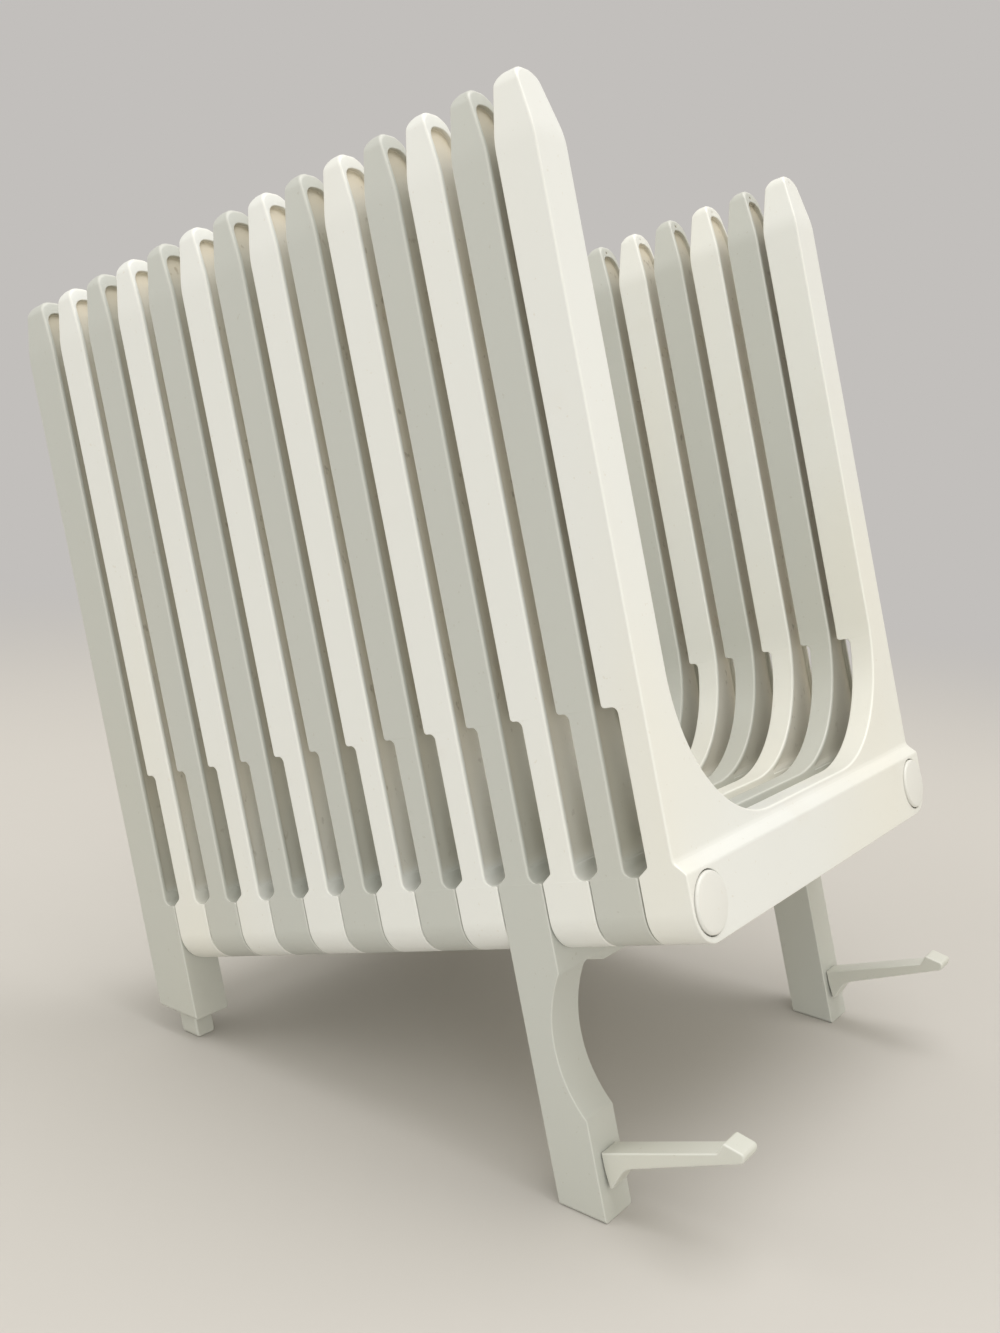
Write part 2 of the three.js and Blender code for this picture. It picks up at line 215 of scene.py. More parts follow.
def circle(a: float, b: float, radius: float, count: int) -> Array:
    """Points on a circle about (a, b): centre plus radius times cosine and sine."""
    angles = np.linspace(0, 2 * math.pi, count, endpoint=False)
    return np.column_stack([a + radius * np.cos(angles), b + radius * np.sin(angles)])


def tidy_loop(loop: Array, spacing: float = 1e-4) -> Array:
    """A closed outline without doubled points, run anticlockwise.

    Args:
        loop: rows of a, b.
        spacing: a point nearer than this to the one before it is dropped.

    Returns:
        The outline.
    """
    keep = np.linalg.norm(loop - np.roll(loop, 1, axis=0), axis=1) > spacing
    loop = loop[keep]
    a, b = loop.T
    area = np.sum(a * np.roll(b, -1) - np.roll(a, -1) * b)
    return loop if area > 0 else loop[::-1]


def with_levels(loop: Array, levels: Array) -> Array:
    """Add a point to a closed outline wherever it crosses one of the levels.

    Each edge runs from b0 to b1, and a level between them is crossed at the share
    (level - b0) / (b1 - b0) of that edge. Edge number plus share sorts old and new points.

    Args:
        loop: rows of a, b.
        levels: heights b at which the depth of the plate bends.

    Returns:
        The outline with the crossings in their places.
    """
    ends = np.roll(loop, -1, axis=0)
    rise = ends[:, 1] - loop[:, 1]
    climbs = np.abs(rise) > LEVEL_RISE
    share = (levels[None, :] - loop[:, 1:2]) / np.where(climbs, rise, 1.0)[:, None]
    within = (share > SAME_SHARE) & (share < 1 - SAME_SHARE)
    edge, level = np.nonzero(within & climbs[:, None])
    part = share[edge, level]
    added = loop[edge] + (ends[edge] - loop[edge]) * part[:, None]
    added[:, 1] = levels[level]
    order = np.argsort(np.concatenate([np.arange(len(loop)), edge + part]), kind="stable")
    return tidy_loop(np.concatenate([loop, added])[order], SAME_SHARE)


def inward(loop: Array) -> Array:
    """Inward mitre vectors of an outline.

    With the inward unit normals n1 and n2 of the two edges at a point, the vector is
    (n1 + n2) / (1 + n1 . n2), which moves both edges in by 1.

    Args:
        loop: rows of a, b, anticlockwise.

    Returns:
        One vector for each point.
    """
    edge = np.roll(loop, -1, axis=0) - loop
    edge /= np.linalg.norm(edge, axis=1)[:, None]
    normal = np.column_stack([-edge[:, 1], edge[:, 0]])
    earlier = np.roll(normal, 1, axis=0)
    spread = 1 + np.sum(normal * earlier, axis=1)
    return (normal + earlier) / np.maximum(spread, LEAST_SPREAD)[:, None]


def inside(points: Array, loop: Array) -> Array:
    """Whether each point lies in a closed outline, by counting crossings to its right.

    Args:
        points: rows of a, b.
        loop: the outline.

    Returns:
        A truth value for each point.
    """
    a, b = loop.T
    a2, b2 = np.roll(a, -1), np.roll(b, -1)
    x, y = points[:, 0:1], points[:, 1:2]
    spans = (b[None] > y) != (b2[None] > y)
    rise = np.where(np.abs(b2 - b) < LEVEL_RISE, LEVEL_RISE, b2 - b)
    across = (a2 - a)[None] * (y - b[None]) / rise[None] + a[None]
    return np.sum(spans & (x < across), axis=1) % 2 == 1


@dataclass
class Profile:
    """Depth as a function of height, along a line of points that climbs."""

    depths: Array
    heights: Array

    @classmethod
    def of(cls, corners: Corners, steps: int = 12) -> Profile:
        """A profile from (depth, height, radius) corners; flat stretches climb a hair's breadth.

        Args:
            corners: corners from the lowest to the highest.
            steps: arc pieces for a quarter turn.

        Returns:
            The profile.
        """
        line = rounded(corners, steps, closed=False)
        heights = np.maximum.accumulate(line[:, 1])
        order = np.arange(len(heights))
        rises = np.diff(heights, prepend=heights[0] - 1) > SAME_SHARE
        level_run = order - np.maximum.accumulate(np.where(rises, order, 0))
        return cls(line[:, 0], heights + level_run * HAIR)

    def at(self, heights: Array) -> Array:
        """Depth at each height."""
        return np.interp(heights, self.heights, self.depths)


@dataclass
class Pocket:
    """A recess in the front or the back of a plate; without a depth it goes right through.

    The inner recesses lie in its floor. Shares over height scale its depth and its painted shade,
    which says how far its floor is painted darker.
    """

    outline: Array
    depth: float | None
    edge: float = 0.25
    at_back: bool = False
    # painted shade of the floor and of the mouth, scaled over height
    shade_sheen_wear: float = 0.0
    inner: list[Pocket] = field(default_factory=list)
    rim_shade: float = 0.0
    depth_share: Profile | None = None
    shade_share: Profile | None = None


@dataclass
class Filled:
    """A closed ring of a surface that borders a fill: flat places, base heights and numbers."""

    flat: Array
    base: Array
    numbers: Array


@dataclass
class Surface:
    """Mesh arrays that grow ring by ring and fill by fill."""

    points: list[Array] = field(default_factory=list)
    # per point: painted shade in the recesses above 0, painted highlight and wear on the rims below
    # 0
    shade_sheen_wear_values: list[Array] = field(default_factory=list)
    faces: list[tuple[int, ...]] = field(default_factory=list)
    total: int = 0

    def add_points(self, points: Array, shade_sheen_wear: float | Array = 0.0) -> Array:
        """Add points.

        Args:
            points: rows of a, b, depth.
            shade_sheen_wear: one value or one for each point; above 0 it is painted shade, below 0
            painted highlight and wear.

        Returns:
            Their numbers.
        """
        numbers = np.arange(self.total, self.total + len(points))
        self.points.append(points)
        self.shade_sheen_wear_values.append(np.zeros(len(points)) + shade_sheen_wear)
        self.total += len(points)
        return numbers

    def ribbon(self, rings: list[Array], shade_sheen_wear_values: Array | None = None) -> list[Array]:
        """Join closed rings of equal length by quads.

        Args:
            rings: arrays of a, b, depth, all with the same number of rows.
            shade_sheen_wear_values: the value of each ring, one value or one for each point; above
                0
            painted shade, below 0 painted highlight and wear.

        Returns:
            The point numbers of each ring.
        """
        shade_sheen_wear_values = np.zeros(len(rings)) if shade_sheen_wear_values is None else shade_sheen_wear_values
        numbers = [self.add_points(ring, shade_sheen_wear) for ring, shade_sheen_wear in zip(rings, shade_sheen_wear_values)]
        for one, two in zip(numbers, numbers[1:]):
            quads = np.column_stack([one, np.roll(one, -1), np.roll(two, -1), two])
            self.faces.extend(map(tuple, quads.tolist()))
        return numbers

    def rows(self, *order: int) -> Array:
        """All points, with their columns in the given order."""
        return np.concatenate(self.points)[:, list(order)]

    def fill(self, outer: Filled, holes: list[Filled], levels: Array) -> None:
        """Triangulate an outline with holes, with an edge along every level line.

        The triangulation drops what lies outside the outline, and the holes are taken out here.

        Args:
            outer: the outline.
            holes: outlines cut out of it.
            levels: heights at which the depth bends, so that each gets its own edges.
        """
        loops = [outer, *holes]
        flat = np.concatenate([loop.flat for loop in loops])
        base = np.concatenate([loop.base for loop in loops])
        ids = np.concatenate([loop.numbers for loop in loops])
        starts = np.cumsum([0] + [len(loop.flat) for loop in loops])
        edges = []
        for start, end in zip(starts, starts[1:]):
            around = np.arange(start, end)
            edges += np.column_stack([around, np.roll(around, -1)]).tolist()
        for level in levels:
            on_level = np.flatnonzero(np.abs(base - level) < ON_LEVEL)
            on_level = on_level[np.argsort(flat[on_level, 0])]
            pairs = np.column_stack([on_level[:-1], on_level[1:]])
            if len(pairs):
                middle = flat[pairs].mean(axis=1)
                good = inside(middle, outer.flat)
                for hole in holes:
                    good &= ~inside(middle, hole.flat)
                edges += pairs[good].tolist()
        found = delaunay_2d_cdt([Vector(p) for p in flat], edges, [], 1, ON_LEVEL)
        spots = np.array([tuple(corner) for corner in found[0]])
        triangles = np.array(found[2])
        rows = np.array([origin[0] if origin else -1 for origin in found[3]])
        centres = spots[triangles].mean(axis=1)
        good = np.ones(len(centres), bool)
        for hole in holes:
            good &= ~inside(centres, hole.flat)
        if np.any(rows < 0):
            LOG.warning("a fill met a crossing edge and left %d points out", np.sum(rows < 0))
        known = rows[triangles[good]]
        known = known[np.all(known >= 0, axis=1)]
        self.faces.extend(map(tuple, ids[known].tolist()))


@dataclass
class Plate:
    """A plate with a free outline, rounded rims and recesses.

    Its front and back follow depth functions. A rim is a quarter circle of radius r: at angle t it
    is set in by r * (1 - cos t) and lies r * (1 - sin t) behind the face.
    """

    outline: Array
    front: Depth
    back: Depth
    front_levels: Array
    back_levels: Array
    rims: Callable[[Array, Array], tuple[Array, Array]]
    pockets: list[Pocket] = field(default_factory=list)
    rim_steps: int = 4
    recess_steps: int = 2
    edge_share: float = 2.5

    @classmethod
    def level(cls, outline: Array, front: float, back: float, rim: float) -> Plate:
        """A plate with level faces and one rim radius.

        Args:
            outline: its outline.
            front: depth of its front.
            back: depth of its back.
            rim: radius of its rims.

        Returns:
            The plate.
        """
        return cls(
            outline=outline,
            front=lambda a, b: np.full(len(a), front),
            back=lambda a, b: np.full(len(a), back),
            front_levels=np.zeros(0),
            back_levels=np.zeros(0),
            rims=lambda loop, _: (np.full(len(loop), rim),) * 2,
        )

    def surface(self) -> Surface:
        """The closed surface of the plate; its rims carry a value below zero, painted pale as a
        highlight and as wear.

        Returns:
            The surface, with its points as a, b, depth.
        """
        surface = Surface()
        levels = np.union1d(self.front_levels, self.back_levels)
        loop = with_levels(tidy_loop(self.outline), levels)
        mitre = inward(loop)
        front_rim, back_rim = self.rims(loop, mitre)
        front = self.edge_rings(loop, mitre, self.front, front_rim, 1)
        back = self.edge_rings(loop, mitre, self.back, back_rim, -1)
        # the rims are painted pale, a painted highlight and wear, most in the middle of each rim
        worn_and_sheen = -np.sin(np.linspace(0, math.pi, self.rim_steps + 1))
        numbers = surface.ribbon(front + back[::-1], np.concatenate([worn_and_sheen, worn_and_sheen]))
        holes: dict[bool, list[Filled]] = {False: [], True: []}
        for pocket in self.pockets:
            face = self.back if pocket.at_back else self.front
            holes[pocket.at_back].append(self.recess(surface, pocket, face, holes))
        front_edge = Filled(front[0][:, :2], loop[:, 1], numbers[0])
        back_edge = Filled(back[0][:, :2], loop[:, 1], numbers[-1])
        surface.fill(front_edge, holes[False], self.front_levels)
        surface.fill(back_edge, holes[True], self.back_levels)
        return surface

    def edge_rings(
        self, loop: Array, mitre: Array, face: Depth, radius: Array, sign: int
    ) -> list[Array]:
        """The rings of one rounded rim, from the face outwards.

        Args:
            loop: the outline.
            mitre: its inward vectors.
            face: the depth of the face.
            radius: the rim's radius at each point.
            sign: 1 for the front, -1 for the back.

        Returns:
            Arrays of a, b, depth.
        """
        rings = []
        for turn in np.linspace(math.pi / 2, 0, self.rim_steps + 1):
            flat = loop + mitre * (radius * (1 - math.cos(turn)))[:, None]
            depth = face(flat[:, 0], flat[:, 1]) + sign * radius * (1 - math.sin(turn))
            rings.append(np.column_stack([flat, depth]))
        return rings

    def recess(
        self, surface: Surface, pocket: Pocket, face: Depth, holes: dict[bool, list[Filled]]
    ) -> Filled:
        """Add the wall and floor of a recess, and those of the recesses in its floor.

        Both ends of the wall are rounded, less deep where the recess itself is shallow.

        Args:
            surface: the surface that grows.
            pocket: the recess.
            face: the depth of the face that it lies in.
            holes: the holes in the plate's front and back; a through bore adds its far end.

        Returns:
            The mouth of the recess, a hole in the face.
        """
        levels = self.back_levels if pocket.at_back else self.front_levels
        if pocket.depth_share:
            levels = np.union1d(levels, pocket.depth_share.heights)
        sign = -1 if pocket.at_back else 1
        loop = with_levels(tidy_loop(pocket.outline), levels)
        mitre = inward(loop)
        top = face(loop[:, 0], loop[:, 1])
        through = pocket.depth is None
        far = self.front if pocket.at_back else self.back
        share = pocket.depth_share
        deep: Depth = lambda a, b: pocket.depth * (share.at(b) if share else 1.0)
        floor = far(loop[:, 0], loop[:, 1]) if through else top + sign * deep(*loop.T)
        edge, foot = pocket.edge, (-1 if through else 1) * pocket.edge
        low = edge if through else np.minimum(edge, deep(*loop.T) / self.edge_share)
        mouth, base = [], []
        for turn in np.linspace(0, math.pi / 2, self.recess_steps + 1):
            out, down = 1 - math.sin(turn), 1 - math.cos(turn)
            mouth.append(np.column_stack([loop - mitre * edge * out, top + sign * low * down]))
            base.append(np.column_stack([loop + mitre * foot * down, floor - sign * low * out]))
        rings = mouth + base
        # painted shade in the recess, from its mouth to its floor, scaled over height
        shade_scale = pocket.shade_share.at(loop[:, 1]) if pocket.shade_share else 1.0
        parts = np.linspace(pocket.rim_shade, pocket.shade_sheen_wear, len(rings))
        shade_sheen_wear_values = [shade_scale * part for part in parts]
        numbers = surface.ribbon(rings, shade_sheen_wear_values)
        bottom = Filled(rings[-1][:, :2], loop[:, 1], numbers[-1])
        if through:
            holes[not pocket.at_back].append(bottom)
        else:
            floor_at: Depth = lambda a, b: face(a, b) + sign * deep(a, b)
            inner = [self.recess(surface, one, floor_at, holes) for one in pocket.inner]
            surface.fill(bottom, inner, levels)
        return Filled(rings[0][:, :2], loop[:, 1], numbers[0])


class Socket:
    """A shader socket that takes part in Python expressions."""

    def __init__(self, graph: Graph, link: bpy.types.NodeSocket) -> None:
        """Hold an output socket and the graph that it belongs to."""
        self.graph = graph
        self.link = link

    def math(self, kind: str, other: Socket | float, swap: bool = False) -> Socket:
        """A Math node on this socket and another value.

        Args:
            kind: the node's operation.
            other: the second value.
            swap: whether the second value comes first.

        Returns:
            The node's output.
        """
        pair = (other, self) if swap else (self, other)
        return self.graph.node("ShaderNodeMath", {"operation": kind}, {0: pair[0], 1: pair[1]})

    def __add__(self, other: Socket | float) -> Socket:
        """Sum."""
        return self.math("ADD", other)

    def __sub__(self, other: Socket | float) -> Socket:
        """Difference."""
        return self.math("SUBTRACT", other)

    def __rsub__(self, other: float) -> Socket:
        """Difference from a number."""
        return self.math("SUBTRACT", other, swap=True)

    def __mul__(self, other: Socket | float) -> Socket:
        """Product."""
        return self.math("MULTIPLY", other)

    __radd__ = __add__
    __rmul__ = __mul__


class Graph:
    """The node graph of one material or of the world."""

    def __init__(self, owner: bpy.types.Material | bpy.types.World, shader: str) -> None:
        """Start a graph.

        Args:
            owner: the material or the world.
            shader: name of the shader that the graph feeds.
        """
        owner.use_nodes = True
        self.owner = owner
        self.tree = owner.node_tree
        self.shader = self.tree.nodes[shader]
        self.place: Socket | None = None

    @classmethod
    def of_material(cls, name: str) -> Graph:
        """The graph of a new material, with the object's own coordinates.

        Args:
            name: the material's name.

        Returns:
            The graph.
        """
        graph = cls(bpy.data.materials.new(name), "Principled BSDF")
        graph.place = graph.node("ShaderNodeTexCoord", {}, {}, "Object")
        return graph

    def node(
        self,
        kind: str,
        settings: dict[str, object],
        values: dict[int | str, object],
        output: int | str = 0,
    ) -> Socket:
        """Add a node.

        Args:
            kind: the node's type.
            settings: its properties; "stops" sets a ramp's places and colours.
            values: numbers, colours or sockets for its inputs.
            output: which output to give back.

        Returns:
            The output socket.
        """
        node = self.tree.nodes.new(kind)
        for key, value in settings.items():
            if key == "stops":
                for element, (spot, colour) in zip(node.color_ramp.elements, value):
                    element.position = spot
                    element.color = colour
            else:
                setattr(node, key, value)
        for key, value in values.items():
            if isinstance(value, Socket):
                self.tree.links.new(value.link, node.inputs[key])
            else:
                node.inputs[key].default_value = value
        return Socket(self, node.outputs[output])

    def noise(self, scale: float, detail: float = 2.0, stretch: Triple = (1, 1, 1)) -> Socket:
        """Noise on the object's own coordinates.

        Args:
            scale: its features are about 1 / scale metres wide.
            detail: how many finer layers it has.
            stretch: factors of the scale along x, y and z.

        Returns:
            The noise, from 0 to 1.
        """
        turned = self.node("ShaderNodeMapping", {}, {"Vector": self.place, "Scale": stretch})
        values = {"Vector": turned, "Scale": scale, "Detail": detail}
        return self.node("ShaderNodeTexNoise", {}, values)

    def band(self, value: Socket, low: float, high: float) -> Socket:
        """A smooth mask from 0 at low to 1 at high."""
        values = {"Value": value, "From Min": low, "From Max": high}
        return self.node("ShaderNodeMapRange", {"interpolation_type": "SMOOTHSTEP"}, values)

    def patches(self, pattern: Pattern) -> Socket:
        """The mask of a pattern."""
        noise = self.noise(pattern.scale, pattern.detail, pattern.stretch)
        return self.band(noise, pattern.low, pattern.high)

    def bump(self, height: Socket, strength: float, distance: float) -> Socket:
        """A bumped normal."""
        values = {"Strength": strength, "Distance": distance, "Height": height}
        return self.node("ShaderNodeBump", {}, values)

    def mix(self, mask: Socket, one: object, two: object) -> Socket:
        """A colour between two colours."""
        values = {"Factor": mask, 6: one, 7: two}
        return self.node("ShaderNodeMix", {"data_type": "RGBA"}, values, 2)

    def feed(self, **sockets: Socket | float) -> None:
        """Set or link inputs of the shader.

        Args:
            sockets: the values by the names of the inputs; an underscore stands for a space.
        """
        for name, value in sockets.items():
            target = self.shader.inputs[name.replace("_", " ")]
            if isinstance(value, Socket):
                self.tree.links.new(value.link, target)
            else:
                target.default_value = value


def linear(red: int, green: int, blue: int) -> tuple[float, float, float, float]:
    """A colour seen on a screen as the linear colour of a shader, by the sRGB curve.

    Args:
        red: 0 to 255.
        green: 0 to 255.
        blue: 0 to 255.

    Returns:
        Red, green, blue and an alpha of 1.
    """
    channels = [c / 255 for c in (red, green, blue)]
    bent = [c / 12.92 if c <= 0.04045 else ((c + 0.055) / 1.055) ** 2.4 for c in channels]
    return (*bent, 1.0)


@dataclass(frozen=True)
class Pattern:
    """Patches of noise with features of 1 / scale metres, from 0 at low to 1 at high."""

    scale: float
    detail: float
    low: float
    high: float
    strength: float = 1.0
    stretch: Triple = (1.0, 1.0, 1.0)


@dataclass(frozen=True)
class Moulded:
    """Satin moulded plastic with faint flow marks, a little yellowing and tiny scuffs.

    A mesh attribute is above 0 in the pockets, which are painted darker as painted shade and hold
    some grime, and below 0 on the rims, which are painted pale as a painted highlight and as wear.
    """

    name: str
    base: Colour
    aged: Colour
    marked: Colour
    shaded: Colour
    worn_and_sheen: Colour
    grimy: Colour = (122, 106, 82)
    roughness: float = 0.42
    ageing: float = 0.5
    # how far the pockets are painted towards the shaded colour as painted shade, and the rims
    # towards the pale colour as painted highlight and wear
    shading: float = 0.8
    wear_and_sheen: float = 0.55
    clouds: Pattern = Pattern(9.0, 3.0, 0.42, 0.72, stretch=(1.0, 1.0, 0.45))
    flow: Pattern = Pattern(70.0, 2.0, 0.35, 0.75, 0.08, (1.0, 1.0, 0.2))
    specks: Pattern = Pattern(900.0, 1.0, 0.735, 0.78, 0.35)
    smears: Pattern = Pattern(42.0, 4.0, 0.62, 0.82, 0.12)
    grime: Pattern = Pattern(480.0, 4.0, 0.64, 0.72, 0.45, (1.0, 1.0, 0.6))
    smear_roughness: float = 0.1
    fine_scale: float = 2600.0
    fine_height: float = 0.5
    wave_scale: float = 55.0
    wave_height: float = 1.5
    grain: float = 0.05
    grain_height: float = 0.0004

    def material(self) -> bpy.types.Material:
        """Make the material.

        Returns:
            The finished material.
        """
        graph = Graph.of_material(self.name)
        shade_sheen_wear = graph.node("ShaderNodeAttribute", {"attribute_name": "shade_sheen_wear"}, {}, "Fac")
        clouds, smears = graph.patches(self.clouds), graph.patches(self.smears)
        layers = [
            (clouds * self.ageing, self.aged),
            (smears * self.smears.strength, self.marked),
            (graph.patches(self.specks) * self.specks.strength, self.marked),
            # painted shade: the pockets darken towards the shaded colour
            (shade_sheen_wear * self.shading, self.shaded),
            # painted highlight and wear: the rims go pale
            (shade_sheen_wear * -self.wear_and_sheen, self.worn_and_sheen),
            (graph.patches(self.grime) * shade_sheen_wear * self.grime.strength, self.grimy),
        ]
        colour = linear(*self.base)
        for mask, tint in layers:
            colour = graph.mix(mask, colour, linear(*tint))
        flow = (graph.patches(self.flow) - 0.5) * self.flow.strength
        fine = graph.noise(self.fine_scale) * self.fine_height
        waves = graph.noise(self.wave_scale, detail=1.0) * self.wave_height
        graph.feed(
            Base_Color=colour,
            Roughness=self.roughness + flow + smears * self.smear_roughness,
            Normal=graph.bump(fine + waves, self.grain, self.grain_height),
            IOR=1.5,
        )
        return graph.owner


@dataclass(frozen=True)
class Plated:
    """Zinc-plated steel with fine turning marks."""

    name: str
    base: Colour
    dull: Colour = (168, 170, 168)
    roughness: float = 0.3
    bloom: Pattern = Pattern(240.0, 3.0, 0.4, 0.7, 0.15)
    mark_scale: float = 1500.0
    mark_stretch: Triple = (1.0, 0.1, 1.0)
    mark_strength: float = 0.1
    mark_height: float = 0.0002

    def material(self) -> bpy.types.Material:
        """Make the material.

        Returns:
            The finished material.
        """
        graph = Graph.of_material(self.name)
        bloom = graph.patches(self.bloom)
        turned = graph.noise(self.mark_scale, stretch=self.mark_stretch)
        graph.feed(
            Base_Color=graph.mix(bloom, linear(*self.base), linear(*self.dull)),
            Roughness=self.roughness + bloom * self.bloom.strength,
            Metallic=1.0,
            Normal=graph.bump(turned, self.mark_strength, self.mark_height),
        )
        return graph.owner


# in each finish, shaded is painted shade for the pockets, and the pale rim colour is a painted
# highlight and wear
FINISHES = {
    Slot.WHITE: Moulded(
        "white_plastic",
        base=(229, 229, 223), aged=(233, 228, 210), marked=(212, 204, 186),
        shaded=(214, 203, 180), worn_and_sheen=(243, 241, 232), roughness=0.4, ageing=0.55,
    ),
    Slot.GREY: Moulded(
        "grey_plastic",
        base=(193, 194, 186), aged=(198, 195, 180), marked=(172, 168, 152),
        shaded=(184, 175, 154), worn_and_sheen=(214, 213, 204), roughness=0.44, ageing=0.4,
    ),
    Slot.CAP: Moulded(
        "cap_plastic",
        base=(227, 226, 219), aged=(230, 225, 211), marked=(216, 208, 192),
        shaded=(208, 199, 178), worn_and_sheen=(240, 238, 230), roughness=0.34, ageing=0.3,
    ),
    Slot.CATCH: Moulded(
        "catch_plastic",
        base=(208, 208, 198), aged=(212, 208, 192), marked=(186, 180, 164),
        shaded=(178, 172, 154), worn_and_sheen=(224, 223, 215), ageing=0.4,
    ),
    Slot.STEEL: Plated("zinc_steel", base=(188, 190, 190)),
}


def show(name: str, data: bpy.types.ID) -> bpy.types.Object:
    """Put an object into the scene.

    Args:
        name: its name.
        data: its mesh, light or camera.

    Returns:
        The object.
    """
    thing = bpy.data.objects.new(name, data)
    bpy.context.scene.collection.objects.link(thing)
    return thing


class Workshop:
    """Turns surfaces into pieces that ride on the frame's bodies."""

    face_weight: int = 80

    def __init__(self) -> None:
        """Make one material for each slot."""
        self.materials = {slot: finish.material() for slot, finish in FINISHES.items()}

    def piece(
        self, name: str, points: Array, surface: Surface, slot: Slot, body: str, stands_for: str
    ) -> bpy.types.Object:
        """Make a finished piece.

        Args:
            name: the piece's name.
            points: rows of x, y, z in the stack's frame, millimetres.
            surface: the surface whose faces and stains those points carry.
            slot: the material slot.
            body: the body that it rides on.
            stands_for: the CAD node that it replaces.

        Returns:
            The object.
        """
        mesh = bpy.data.meshes.new(name)
        mesh.from_pydata(STACK.place(points).tolist(), [], surface.faces)
        # a point attribute: painted shade in the recesses, painted highlight and wear on the rims
        shade_sheen_wear = mesh.attributes.new("shade_sheen_wear", "FLOAT", "POINT")
        shade_sheen_wear.data.foreach_set("value", np.concatenate(surface.shade_sheen_wear_values))
        self.close(mesh)
        thing = show(name, mesh)
        mesh.materials.append(self.materials[slot])
        mesh.shade_smooth()
        weighted = thing.modifiers.new("weighted_normals", "WEIGHTED_NORMAL")
        weighted.weight = self.face_weight
        weighted.keep_sharp = True
        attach(thing, body)
        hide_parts(stands_for)
        LOG.info("%s: %d faces", name, len(mesh.polygons))
        return thing

    @staticmethod
    def close(mesh: bpy.types.Mesh) -> None:
        """Turn all faces outwards and tell of edges without two faces.

        Args:
            mesh: the mesh, which has to be closed.
        """
        shape = bmesh.new()
        shape.from_mesh(mesh)
        bmesh.ops.recalc_face_normals(shape, faces=shape.faces)
        loose = [edge for edge in shape.edges if len(edge.link_faces) != 2]
        if loose:
            LOG.warning("%s has %d open edges", mesh.name, len(loose))
        shape.to_mesh(mesh)
        shape.free()


